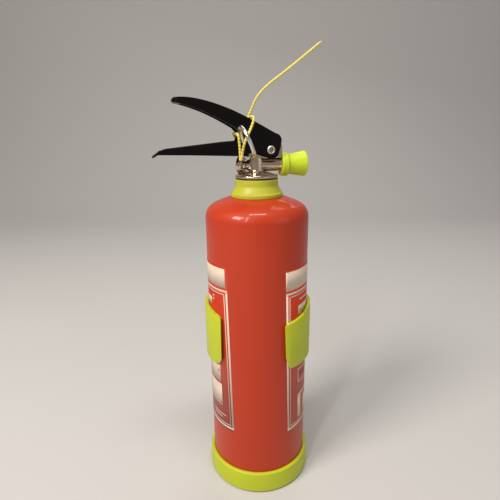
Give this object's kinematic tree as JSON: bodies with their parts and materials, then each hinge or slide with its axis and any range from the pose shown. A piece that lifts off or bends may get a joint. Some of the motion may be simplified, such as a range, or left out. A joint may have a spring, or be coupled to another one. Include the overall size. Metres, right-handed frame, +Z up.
{
  "type": "fire extinguisher",
  "caption": "Small dry-powder fire extinguisher: painted bottle with plastic boot, chrome valve, squeeze lever, carrying handle, ring pin with seal tie, side nozzle and clip holder.",
  "frame": {"origin": "centre of the flat foot of the boot", "axes": "+Z up along the bottle, +X the way the nozzle points, the handles reach out along -X"},
  "size_m": [0.1388, 0.098, 0.3763],
  "materials": {
    "red_paint": "gloss",
    "steel": "satin",
    "lime_plastic": "satin",
    "chrome": "polished",
    "black_paint": "gloss",
    "rubber": "matte",
    "white_plastic": "matte",
    "yellow_plastic": "satin",
    "print_film": "gloss",
    "brass": "satin",
    "clear": "clear",
    "powder": "matte"
  },
  "bodies": {
    "cylinder": {"cylinder_shell": "red_paint", "neck_boss": "steel", "base_boot": "lime_plastic", "neck_collar": "lime_plastic", "neck_gasket": "rubber", "valve_body": "chrome", "nozzle": "lime_plastic", "carrying_handle": "black_paint", "pivot_rivet": "steel", "handle_cross_pin": "steel", "stem_o_ring": "rubber", "stem_spring": "steel", "spring_retainer": "brass", "siphon_tube": "white_plastic", "gauge_case": "chrome", "gauge_dial": "white_plastic", "gauge_lens": "clear", "gauge_gasket": "rubber", "bourdon_tube": "brass", "wrap_label": "print_film", "powder_charge": "powder"},
    "lever": {"squeeze_lever": "black_paint", "tamper_tie": "yellow_plastic", "tie_lock": "yellow_plastic"},
    "stem": {"valve_stem": "brass", "stem_seal": "rubber"},
    "pin": {"safety_pin": "steel"},
    "needle": {"gauge_pointer": "black_paint"},
    "bracket": {"clip_bracket": "lime_plastic"}
  },
  "joints": [
    {"name": "lever_squeeze", "type": "hinge", "parent": "cylinder", "child": "lever", "pos_m": [0.0098, 0, 0.29312], "axis": [0, -1, 0], "range_deg": [0, 15], "stiffness_Nm_per_rad": 0.495, "springref_deg": -17.19, "deforming": ["tamper_tie"]},
    {"name": "stem_travel", "type": "slide", "parent": "cylinder", "child": "stem", "axis": [0, 0, -1], "range_m": [0, 0.0039], "deforming": ["stem_spring"]},
    {"name": "pin_pull", "type": "slide", "parent": "lever", "child": "pin", "axis": [0, -1, 0], "range_m": [0, 0.03], "deforming": ["tamper_tie"]},
    {"name": "needle_swing", "type": "hinge", "parent": "cylinder", "child": "needle", "pos_m": [-0.01106, 0.00774, 0.28102], "axis": [-0.8192, 0.5736, 0], "range_deg": [-70, 70]},
    {"name": "bracket_slide", "type": "slide", "parent": "cylinder", "child": "bracket", "axis": [0, 0, 1], "range_m": [-0.095, 0.065]}
  ],
  "couplings": [
    {"joint": "stem_travel", "follows": "lever_squeeze", "m_per_rad": 0.014515}
  ]
}
